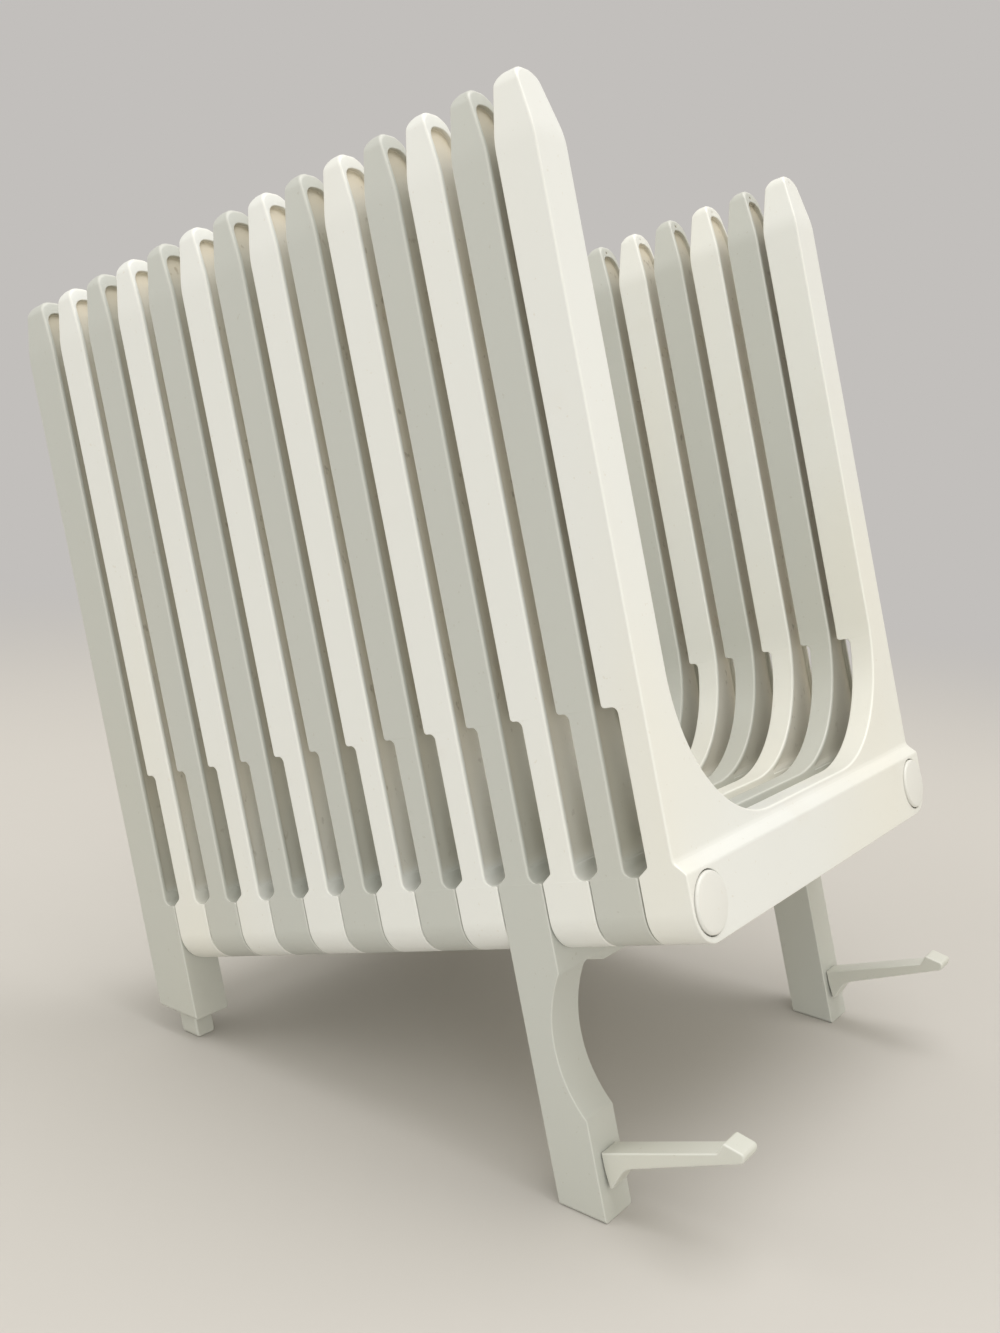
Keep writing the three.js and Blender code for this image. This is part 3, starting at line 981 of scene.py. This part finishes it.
@dataclass
class Frames:
    """The fourteen U-shaped frames."""

    arm: float = 12.3
    corner: float = 8.7
    trough_radius: float = 38.0
    trough_floor: float = 21.4
    setback: float = 3.2
    cut: float = 2.5
    rise: float = 2.0
    floor_radius: float = 2.2
    step: float = 54.2
    step_radius: float = 1.6
    front_arm: float = 9.5
    proud: float = 0.4
    front_proud: float = 1.4
    ledge: float = 2.6
    tip: float = 14.4
    front_draft: float = 0.19
    back_draft: float = 0.17
    inner_draft: float = 0.2
    outer_draft: float = 0.065
    outer_round: float = 3.9
    inner_round: float = 3.6
    knee_blend: float = 2.4
    knee_points: int = 5
    bar_round: float = 1.1
    ledge_round: float = 2.4
    block_round: float = 0.5
    back_round: float = 0.4
    cut_round: float = 0.8
    rim_low: float = 0.32
    rim_arm: float = 0.55
    rim_blend: Pair = (-1.0, 2.0)
    rim_top_front: float = 1.0
    rim_top_back: float = 1.9
    rim_top_from: float = 0.25
    rim_top_run: float = 0.7
    pocket_depth: float = 1.1
    pocket_rim: float = 1.3
    pocket_top: float = 3.6
    pocket_end: float = 20.5
    pocket_point: float = 1.2
    pocket_corner: float = 0.8
    pocket_steps: int = 8
    curve_points: int = 22
    fade_rises: tuple[float, ...] = (0.6, 1.9, 2.6, 3.4, 4.2)
    fade_shares: tuple[float, ...] = (0.2, 0.72, 0.88, 0.97, 1.0)
    # painted shade on the pocket floors: it rises from the lower end and is deepest near the tip
    shade_rise: float = 1.8
    shade_drops: Pair = (9.0, 2.0)
    shade_shares: tuple[float, ...] = (0.0, 0.4, 0.55, 1.15)
    mark_radius: float = 1.8
    mark_heights: tuple[float, ...] = (66.0, 138.0, 152.0)
    mark_depth: float = 0.15
    # painted shade on the edge and floor of the ejector marks
    mark_shades: Pair = (1.0, 1.12)
    mark_edge: float = 0.08
    mark_points: int = 24
    gate_radius: float = 0.42
    gate_drop: float = 2.3
    # depth and painted shade of the gate's pit on odd frames and of its shallow scar on even ones
    gate_pit: Pair = (0.9, 2.0)
    gate_scar: Pair = (0.12, 0.2)
    leg: float = 11.6
    bite_top: float = 4.0
    bite_bottom: float = 38.6
    bite_depth: float = 5.0
    bite_points: int = 41
    web: float = 7.1
    web_end: float = 4.1
    web_run: float = 10.2
    web_round: float = 2.0
    web_corner: float = 1.2
    rear_corner: float = 1.5
    sole_round: float = 0.9
    sole_reach: float = 16.0
    rear_sole_reach: float = 6.0
    sole_flat: float = 2.0
    level_margin: float = 1.0
    cap_seat: float = 7.3
    cap_seat_depth: float = 1.4
    well: float = 6.0
    well_depth: float = 5.3
    front_well_depth: float = 9.5
    bore: float = 2.95
    bore_edge: float = 0.2
    bore_points: int = 40
    outline_steps: int = 24

    @property
    def knee(self) -> float:
        """Height at which the tips start to taper."""
        return STACK.height - self.tip

    def knee_curve(self, draft: float) -> list[Pair]:
        """The bend of a side from upright to its draft.

        The bend is a parabola: draft * blend * (1 + t) ** 2 / 4 for t from -1 to 1, so that each
        side of a tip bends at the same heights.

        Args:
            draft: how far the side comes in for each millimetre of height above the bend.

        Returns:
            How far the side has come in and the height, from the lowest point up.
        """
        shares = np.linspace(-1, 1, self.knee_points)
        blend = self.knee_blend
        return [(draft * blend * (1 + t) ** 2 / 4, self.knee + blend * t) for t in shares.tolist()]

    def tip_corners(self, inset: float, top: float) -> Corners:
        """A tip seen from the front: two drafted sides and two rounded corners under a level top.

        Args:
            inset: distance of the line from the frame's own outline.
            top: height of the top.

        Returns:
            (x, z, radius) from the outer knee over the top to the inner knee.
        """
        outer = STACK.half - inset
        inner = STACK.half - self.arm + inset
        rise = top - self.knee
        return [
            *[(outer - d, z, 0.0) for d, z in self.knee_curve(self.outer_draft)],
            (outer - rise * self.outer_draft, top, self.outer_round - inset / 2),
            (inner + rise * self.inner_draft, top, self.inner_round - inset / 2),
            *[(inner + d, z, 0.0) for d, z in reversed(self.knee_curve(self.inner_draft))],
        ]

    def outline(self, lower: Corners) -> Array:
        """The whole front view of a frame, from the corners of its lower right side.

        Args:
            lower: (x, z, radius) corners from the middle of the bottom to the outer side.

        Returns:
            The closed outline.
        """
        inner = STACK.half - self.arm
        trough = (inner, self.trough_floor, self.trough_radius)
        right = [*lower, *self.tip_corners(0.0, STACK.height), trough]
        left = [(-x, z, r) for x, z, r in reversed(right)]
        return rounded(right + left, self.outline_steps)

    def profiles(self, number: int) -> tuple[Profile, Profile]:
        """The front and back profile of one frame.

        Args:
            number: the frame, counted from the rear.

        Returns:
            Its front and its back, as depth over height.
        """
        stack = STACK
        front = -stack.bar if number == stack.count else stack.front_of(number)
        back = stack.front_of(number) + stack.pitch - stack.gap
        if number == stack.rear_frame:
            back = stack.rear
        if number == stack.count:
            face = back + stack.gap - self.front_arm
            ledge = stack.block + self.ledge
            low = [(front, stack.block, self.bar_round), (face, ledge, self.ledge_round)]
        else:
            face = front + self.setback
            low = [(front, stack.block, self.block_round), (face, stack.block, self.floor_radius)]
        low.insert(0, (front, FAR_BELOW, 0.0))
        behind = [(back, FAR_BELOW, 0.0)]
        upper = back
        if number != stack.rear_frame:
            upper += self.front_proud if number == stack.count else self.proud
            behind += [
                (back, stack.block, self.back_round),
                (back - self.cut, stack.block + self.rise, self.cut_round),
                (back - self.cut, self.step, self.step_radius),
                (upper, self.step, self.step_radius / 2),
            ]
        low += [(face + d, z, 0.0) for d, z in self.knee_curve(self.front_draft)]
        low.append((face + self.tip * self.front_draft, stack.height, 0.0))
        behind += [(upper - d, z, 0.0) for d, z in self.knee_curve(self.back_draft)]
        behind.append((upper - self.tip * self.back_draft, stack.height, 0.0))
        return Profile.of(low), Profile.of(behind)

    def rims(self, loop: Array, mitre: Array) -> tuple[Array, Array]:
        """Rim radii: crisp on the blocks, softer on the arms, largest over the tops of the tips.

        Args:
            loop: the outline.
            mitre: its inward vectors; they point down where the outline runs over a tip.

        Returns:
            The front and the back radius at each point.
        """
        heights = loop[:, 1]
        blend = [STACK.block + rise for rise in self.rim_blend]
        side = np.interp(heights, blend, [self.rim_low, self.rim_arm])
        over = np.clip((-mitre[:, 1] - self.rim_top_from) / self.rim_top_run, 0, 1)
        over *= heights > self.knee
        over = over * over * (3 - 2 * over)
        front = side + (self.rim_top_front - side) * over
        back = side + (self.rim_top_back - side) * over
        return front, back

    def arm_pocket(self, side: int) -> Pocket:
        """The shallow pocket in the front of one arm.

        At its lower end the trough cuts it to a point, where it fades out. Its floor is painted
        darker as painted shade, most towards the tip, and carries the marks of the ejector pins.

        Args:
            side: -1 for the left arm, 1 for the right.

        Returns:
            The pocket.
        """
        centre_x = STACK.half - self.arm - self.trough_radius
        centre_z = self.trough_floor + self.trough_radius
        radius = self.trough_radius + self.pocket_rim
        lowest = math.asin((self.pocket_end + self.pocket_point - centre_z) / radius)
        angles = np.linspace(lowest, 0, self.curve_points)
        across, up = centre_x + radius * np.cos(angles), centre_z + radius * np.sin(angles)
        curve = [(a, b, 0.0) for a, b in zip(across, up)]
        outer = STACK.half - self.pocket_rim
        top = STACK.height - self.pocket_top
        corners = [
            (curve[0][0], self.pocket_end, 0.0),
            (outer, self.pocket_end, self.pocket_corner),
            *self.tip_corners(self.pocket_rim, top),
            *curve[::-1],
        ]
        # heights at which the painted shade of the floor changes
        near_top = [top - drop for drop in self.shade_drops]
        heights = np.array([self.pocket_end, self.pocket_end + self.shade_rise, *near_top])
        return Pocket(
            outline=rounded([(side * a, b, r) for a, b, r in corners], self.pocket_steps),
            depth=self.pocket_depth,
            shade_sheen_wear=1.0,
            inner=[
                self.mark(side, height, self.mark_radius, self.mark_depth, self.mark_shades)
                for height in self.mark_heights
            ],
            depth_share=Profile(
                np.array(self.fade_shares), self.pocket_end + np.array(self.fade_rises)
            ),
            shade_share=Profile(np.array(self.shade_shares), heights),
        )

    def mark(
        self, side: int, height: float, radius: float, depth: float, shade_sheen_wear_values: Pair
    ) -> Pocket:
        """A round mark of an ejector pin or of a gate in the middle of an arm.

        Args:
            side: -1 for the left arm, 1 for the right.
            height: height of its centre.
            radius: its radius.
            depth: its depth.
            shade_sheen_wear_values: painted shade of its edge and of its floor.

        Returns:
            The mark.
        """
        outline = circle(side * (STACK.half - self.arm / 2), height, radius, self.mark_points)
        return Pocket(outline, depth, self.mark_edge, shade_sheen_wear=shade_sheen_wear_values[1], rim_shade=shade_sheen_wear_values[0])

    def disc(
        self,
        side: int,
        radius: float,
        depth: float | None,
        at_back: bool = False,
        inner: list[Pocket] | None = None,
    ) -> Pocket:
        """A round recess about one of the tie bolts.

        Args:
            side: -1 for the left bolt, 1 for the right.
            radius: its radius.
            depth: its depth, or None for a through bore.
            at_back: whether it lies in the back.
            inner: the recesses in its floor.

        Returns:
            The recess.
        """
        x = side * (STACK.half - STACK.bolt_inset)
        outline = circle(x, STACK.bolt_height, radius, self.bore_points)
        return Pocket(outline, depth, self.bore_edge, at_back, inner=inner or [])

    def bolt_pocket(self, number: int, side: int) -> Pocket:
        """The bore of one tie bolt, with the wells and seats at its ends.

        Args:
            number: the frame, counted from the rear.
            side: -1 for the left bolt, 1 for the right.

        Returns:
            The outermost recess, which holds the others.
        """
        bore = self.disc(side, self.bore, None, number == STACK.rear_frame)
        if number == STACK.rear_frame:
            return self.disc(side, self.well, self.well_depth, True, [bore])
        if number == STACK.count:
            depth = self.front_well_depth - self.cap_seat_depth
            well = self.disc(side, self.well, depth, False, [bore])
            return self.disc(side, self.cap_seat, self.cap_seat_depth, False, [well])
        return bore

    def lower_side(self, number: int) -> Corners:
        """The lower right side of a frame, with its leg if it has one.

        Args:
            number: the frame, counted from the rear.

        Returns:
            (x, z, radius) corners from the middle of the bottom outwards.
        """
        half = STACK.half
        if number == STACK.leg_frame:
            foot, drop = half - self.leg, STACK.leg_drop
            corners = [
                (foot - self.web_run, -self.web, self.web_round),
                (foot, -self.web_end, self.web_corner),
            ]
        elif number == STACK.rear_frame:
            foot, drop = half - STACK.rear_leg, STACK.rear_drop
            corners = [(foot, 0.0, self.rear_corner)]
        else:
            return [(half, 0.0, self.corner)]
        return [*corners, (foot, -drop, self.sole_round), (half, -drop, self.sole_round)]

    def bite(self, x: Array, z: Array) -> Array:
        """How deep the round bite cuts the front of the left leg: a circle through its two ends.

        Args:
            x: places across.
            z: heights.

        Returns:
            The depth at each place.
        """
        half_chord = (self.bite_bottom - self.bite_top) / 2
        radius = (half_chord**2 + self.bite_depth**2) / (2 * self.bite_depth)
        along = z + (self.bite_bottom + self.bite_top) / 2
        depth = np.sqrt(np.maximum(radius**2 - along**2, 0)) - (radius - self.bite_depth)
        return np.where((np.abs(along) < half_chord) & (x < 0), np.maximum(depth, 0), 0)

    def plate(self, number: int) -> Plate:
        """The plate of one frame.

        Args:
            number: the frame, counted from the rear.

        Returns:
            The plate, with its recesses.
        """
        front, back = self.profiles(number)
        drops = {STACK.rear_frame: STACK.rear_drop, STACK.leg_frame: STACK.leg_drop}
        low = self.level_margin - drops.get(number, 0.0)
        front_levels = front.heights[front.heights > low]
        back_levels = back.heights[back.heights > low]
        face: Depth = lambda a, b: front.at(b)
        if number == STACK.leg_frame:
            bite_levels = -np.linspace(self.bite_top, self.bite_bottom, self.bite_points)
            front_levels = np.union1d(front_levels, bite_levels)
            face = lambda a, b: front.at(b) + self.bite(a, b)
        pockets = [self.bolt_pocket(number, side) for side in (-1, 1)]
        if number != STACK.count:
            pockets += [self.arm_pocket(side) for side in (-1, 1)]
        # the gate is a pit on odd frames and a scar on even ones; its floor is painted darker as
        # shade
        depth, shade_sheen_wear = self.gate_pit if number % 2 else self.gate_scar
        height = STACK.height - self.gate_drop
        pockets.append(self.mark(1, height, self.gate_radius, depth, (0.0, shade_sheen_wear)))
        return Plate(
            outline=self.outline(self.lower_side(number)),
            front=face,
            back=lambda a, b: back.at(b),
            front_levels=front_levels[:-1],
            back_levels=back_levels[:-1],
            rims=self.rims,
            pockets=pockets,
        )

    def node_name(self, number: int) -> str:
        """The CAD node of a frame.

        Args:
            number: the frame, counted from the rear.

        Returns:
            The node's name.
        """
        if number == STACK.rear_frame:
            return "rear_leg_frame"
        if number == STACK.leg_frame:
            return "front_leg_frame"
        if number == STACK.count:
            return "front_frame"
        return f"{'grey' if number % 2 else 'white'}_frame_{number:02d}"

    def shear(self, points: Array, number: int) -> Array:
        """Slant the lower ends of the legs, so that they are parallel to the table.

        The slant grows from nothing at the reach above the sole to its whole at the flat above it.

        Args:
            points: rows of x, y, z, which are changed in place.
            number: the frame, counted from the rear.

        Returns:
            The points.
        """
        if number not in (STACK.rear_frame, STACK.leg_frame):
            return points
        if number == STACK.rear_frame:
            drop, start, reach = STACK.rear_drop, STACK.rear_leg_front, self.rear_sole_reach
        else:
            drop, start, reach = STACK.leg_drop, STACK.leg_front, self.sole_reach
        weight = np.clip((-points[:, 2] - drop + reach) / (reach - self.sole_flat), 0, 1)
        points[:, 2] += weight * (points[:, 1] - start) * STACK.slope
        return points

    def build(self, workshop: Workshop) -> None:
        """Make all frames.

        Args:
            workshop: makes the pieces.
        """
        for number in range(STACK.rear_frame, STACK.count + 1):
            surface = self.plate(number).surface()
            points = self.shear(surface.rows(0, 2, 1), number)
            slot = Slot.GREY if number % 2 else Slot.WHITE
            node = self.node_name(number)
            workshop.piece(f"{node}_shell", points, surface, slot, "stack", node)


@dataclass
class Caps:
    """The two caps on the bar, turned about the bolt's axis."""

    radius: float = 7.0
    proud: float = 0.6
    crown: float = 0.35
    edge: float = 0.55
    seat_depth: float = 1.1
    plug: float = 5.7
    plug_depth: float = 3.0
    pole: float = 0.3
    crown_steps: int = 7
    edge_steps: int = 5
    segments: int = 64

    def build(self, workshop: Workshop) -> None:
        """Make both caps.

        The profile is a shallow crown, a quarter-circle edge, a skirt and a plug, turned about y.

        Args:
            workshop: makes the pieces.
        """
        turns = np.linspace(0, math.pi / 2, self.edge_steps + 1)
        crown_r = np.linspace(self.pole, self.radius - self.edge, self.crown_steps + 1)
        crown_y = -self.proud - self.crown * (1 - (crown_r / self.radius) ** 2)
        edge_r = self.radius - self.edge * (1 - np.sin(turns))
        edge_y = -self.proud + self.edge * (1 - np.cos(turns))
        r = np.concatenate([crown_r, edge_r[1:], [self.radius, self.plug, self.plug]])
        seat = self.seat_depth
        y = np.concatenate([crown_y, edge_y[1:], [seat, seat, self.plug_depth]])
        for word, side in SIDES:
            surface = Surface()
            x = side * (STACK.half - STACK.bolt_inset)
            rings = []
            for radius, depth in zip(r, y):
                ring = circle(x, STACK.bolt_height, radius, self.segments)
                rings.append(np.insert(ring, 1, depth - STACK.bar, axis=1))
            numbers = surface.ribbon(rings)
            surface.faces += [tuple(numbers[end].tolist()) for end in (0, -1)]
            name = f"{word}_cap_button"
            node = f"{word}_end_cap"
            workshop.piece(name, surface.rows(0, 1, 2), surface, Slot.CAP, "stack", node)


@dataclass
class CatchArms:
    """The two catch arms: a tapering finger with a gusset at its root and a barb near its nose."""

    inset: float = 2.6
    width: float = 7.0
    root_top: float = 47.0
    rise: float = 2.0
    reach: float = 30.6
    thickness: float = 3.6
    tip_thickness: float = 2.0
    gusset_drop: float = 9.1
    gusset_run: float = 5.4
    barb_rise: float = 2.4
    barb_run: float = 1.9
    barb_length: float = 6.6
    barb_drop: float = 2.4
    nose: float = 2.2
    knuckle: float = 50.8
    relief: float = 0.6
    crest_round: float = 0.6
    nose_round: float = 0.9
    gusset_share: float = 0.9
    foot_round: float = 0.5
    rim: float = 0.45
    steps: int = 8

    def side_view(self) -> Array:
        """The outline of an arm seen from the side.

        Returns:
            Rows of depth and height.
        """
        face = STACK.leg_front - STACK.gap
        end = STACK.leg_front - self.reach
        top = -self.root_top + self.rise
        under = -self.root_top - self.thickness
        foot = -self.root_top - self.gusset_drop
        crest = top + self.barb_rise
        nose_z = crest - self.barb_drop
        chin = end - self.barb_length + self.nose / 4
        return rounded([
            (face, -self.root_top, 0.0),
            (end, top, self.crest_round),
            (end - self.barb_run, crest, self.crest_round),
            (end - self.barb_length, nose_z, self.nose_round),
            (chin, top - self.tip_thickness, self.nose_round),
            (face - self.gusset_run, under, self.gusset_run * self.gusset_share),
            (face - self.relief, foot, self.foot_round),
            (face, -self.knuckle, 0.0),
        ], self.steps)

    def build(self, workshop: Workshop) -> None:
        """Make both arms.

        Args:
            workshop: makes the pieces.
        """
        for word, side in SIDES:
            outer = STACK.half - self.inset
            low, high = sorted((side * outer, side * (outer - self.width)))
            surface = Plate.level(self.side_view(), low, high, self.rim).surface()
            name = f"{word}_catch_arm"
            points = surface.rows(2, 0, 1)
            workshop.piece(f"{name}_shell", points, surface, Slot.CATCH, f"{word}_catch", name)


@dataclass
class Feet:
    """The two small feet under the rear legs."""

    width: float = 6.4
    sole_round: float = 0.9
    top_round: float = 0.8
    rim: float = 0.7

    def build(self, workshop: Workshop) -> None:
        """Make both feet: rounded blocks whose lower face lies on the table.

        Args:
            workshop: makes the pieces.
        """
        half = self.width / 2
        depth, sole = STACK.foot_depth, -STACK.foot_drop
        top = -STACK.rear_drop + (depth - STACK.rear_leg_front) * STACK.slope - STACK.gap
        for word, side in SIDES:
            centre = side * (STACK.half - STACK.rear_leg / 2)
            outline = rounded([
                (centre - half, sole, self.sole_round),
                (centre + half, sole, self.sole_round),
                (centre + half, top, self.top_round),
                (centre - half, top, self.top_round),
            ])
            surface = Plate.level(outline, depth - half, depth + half, self.rim).surface()
            points = surface.rows(0, 2, 1)
            points[:, 2] += (points[:, 1] - depth) * STACK.slope
            name = f"{word}_rear_foot"
            workshop.piece(f"{name}_block", points, surface, Slot.GREY, "stack", name)


@dataclass
class Fasteners:
    """The bolts, nuts and washers keep their CAD shapes and get a plated finish."""

    def build(self, workshop: Workshop, nodes: dict[str, bpy.types.Object]) -> None:
        """Dress the fasteners.

        Args:
            workshop: holds the materials.
            nodes: the CAD objects by their names.
        """
        for name, thing in nodes.items():
            if any(word in name for word in ("bolt", "nut", "washer")):
                thing.data.materials.clear()
                thing.data.materials.append(workshop.materials[Slot.STEEL])


@dataclass
class Camera:
    """The photograph's camera, fitted to the frames' edges; places are in the stack's frame."""

    place: Triple = (-318.7, -154.2, 72.0)
    turn: Triple = (1.382, -0.8841, 0.5846)
    focal: float = 1353.0
    centre: Pair = (518.2, 692.8)
    photo: Pair = (1000.0, 1333.0)
    sensor: float = 36.0

    def axes(self) -> Array:
        """The camera's axes, from its turn vector.

        Rodrigues' formula: R = I + sin(t) K + (1 - cos(t)) K K for a turn by t about a unit axis.

        Returns:
            Rows: the camera's right, down and forward in the stack's frame.
        """
        turn = np.array(self.turn)
        angle = np.linalg.norm(turn)
        x, y, z = turn / angle
        skew = np.array([[0, -z, y], [z, 0, -x], [-y, x, 0]])
        return np.eye(3) + math.sin(angle) * skew + (1 - math.cos(angle)) * skew @ skew

    def build(self) -> None:
        """Put the camera where the photograph was taken."""
        right, down, forward = self.axes()
        spots = STACK.place(np.array([self.place, right, -down, -forward, (0, 0, 0)]))
        data = bpy.data.cameras.new("photo_camera")
        data.sensor_width = self.sensor
        data.lens = self.focal * self.sensor / self.photo[1]
        data.shift_x = (self.photo[0] / 2 - self.centre[0]) / self.photo[1]
        data.shift_y = (self.centre[1] - self.photo[1] / 2) / self.photo[1]
        thing = show("photo_camera", data)
        matrix = np.eye(4)
        directions = spots[1:4] - spots[4]
        matrix[:3, :3] = (directions / np.linalg.norm(directions, axis=1)[:, None]).T
        matrix[:3, 3] = spots[0]
        thing.matrix_world = Matrix(matrix.tolist())
        bpy.context.scene.camera = thing


@dataclass(frozen=True)
class Lamp:
    """A square area light, in metres and watts."""

    name: str
    place: Triple
    size: float
    power: float
    colour: Triple


LAMPS = (
    Lamp("low_left_panel", (-0.78, -0.66, 0.28), 0.5, 2.2, (0.92, 0.965, 1.0)),
    Lamp("front_panel", (0.7, -1.15, 0.4), 0.8, 0.9, (1.0, 0.86, 0.55)),
    Lamp("top_panel", (0.1, -0.25, 1.4), 1.0, 10.6, (0.98, 0.98, 1.0)),
    Lamp("rear_left_panel", (-0.65, 0.75, 0.7), 0.7, 2.6, (1.0, 1.0, 0.97)),
)


@dataclass
class Studio:
    """A plain pale floor that fades into the backdrop, under soft light.

    The fade ends before the lowest lamp's plane meets the floor, so that its edge isn't seen.
    """

    floor: Colour = (198, 194, 188)
    floor_patches: Colour = (191, 186, 179)
    patch_scale: float = 6.0
    patch_strength: float = 0.2
    floor_size: float = 8.0
    floor_roughness: float = 0.85
    fade: Pair = (0.3, 0.95)
    backdrop: Colour = (194, 191, 188)
    sky: Triple = (1.0, 0.98, 0.92)
    sky_light: float = 0.71
    aim: Triple = (0.0, 0.0, 0.12)

    def build(self) -> None:
        """Lay the floor and hang the lights."""
        mesh = bpy.data.meshes.new("floor")
        half = self.floor_size / 2
        corners = [(-half, -half, 0), (half, -half, 0), (half, half, 0), (-half, half, 0)]
        mesh.from_pydata(corners, [], [(0, 1, 2, 3)])
        floor = show("floor", mesh)
        graph = Graph.of_material("studio_floor")
        tone = graph.noise(self.patch_scale) * self.patch_strength
        settings = {"operation": "LENGTH"}
        distance = graph.node("ShaderNodeVectorMath", settings, {0: graph.place}, "Value")
        far = graph.band(distance, *self.fade)
        near = graph.mix(tone, linear(*self.floor), linear(*self.floor_patches))
        black = linear(0, 0, 0)
        graph.feed(
            Base_Color=graph.mix(far, near, black),
            Emission_Color=graph.mix(far, black, linear(*self.backdrop)),
            Emission_Strength=1.0,
            Specular_IOR_Level=0.0,
            Roughness=self.floor_roughness,
        )
        mesh.materials.append(graph.owner)
        self.light_sky()
        for lamp in LAMPS:
            self.hang(lamp)

    def light_sky(self) -> None:
        """Light all round; camera, glossy and transmission rays see the backdrop."""
        graph = Graph(bpy.data.worlds.new("soft_sky"), "Background")
        seen = graph.node("ShaderNodeLightPath", {}, {}, "Is Camera Ray")
        for kind in ("Is Glossy Ray", "Is Transmission Ray"):
            seen = seen.math("MAXIMUM", graph.node("ShaderNodeLightPath", {}, {}, kind))
        graph.feed(
            Color=graph.mix(seen, (*self.sky, 1.0), linear(*self.backdrop)),
            Strength=self.sky_light + seen * (1 - self.sky_light),
        )
        bpy.context.scene.world = graph.owner

    def hang(self, lamp: Lamp) -> None:
        """Hang an area light that faces the object and isn't seen itself.

        Args:
            lamp: the light.
        """
        data = bpy.data.lights.new(lamp.name, "AREA")
        data.size = lamp.size
        data.energy = lamp.power
        data.color = lamp.colour
        thing = show(lamp.name, data)
        thing.location = lamp.place
        thing.visible_camera = False
        towards = Vector(self.aim) - Vector(lamp.place)
        thing.rotation_euler = towards.to_track_quat("-Z", "Y").to_euler()


def main() -> None:
    """Build the frames, caps, arms and feet, then the camera and the studio."""
    logging.basicConfig(level=logging.INFO, format="%(name)s: %(message)s")
    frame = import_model()
    workshop = Workshop()
    Frames().build(workshop)
    Caps().build(workshop)
    CatchArms().build(workshop)
    Feet().build(workshop)
    Fasteners().build(workshop, frame["nodes"])
    Camera().build()
    Studio().build()
    bpy.context.scene.view_settings.view_transform = "Standard"


if __name__ == "__main__":
    main()
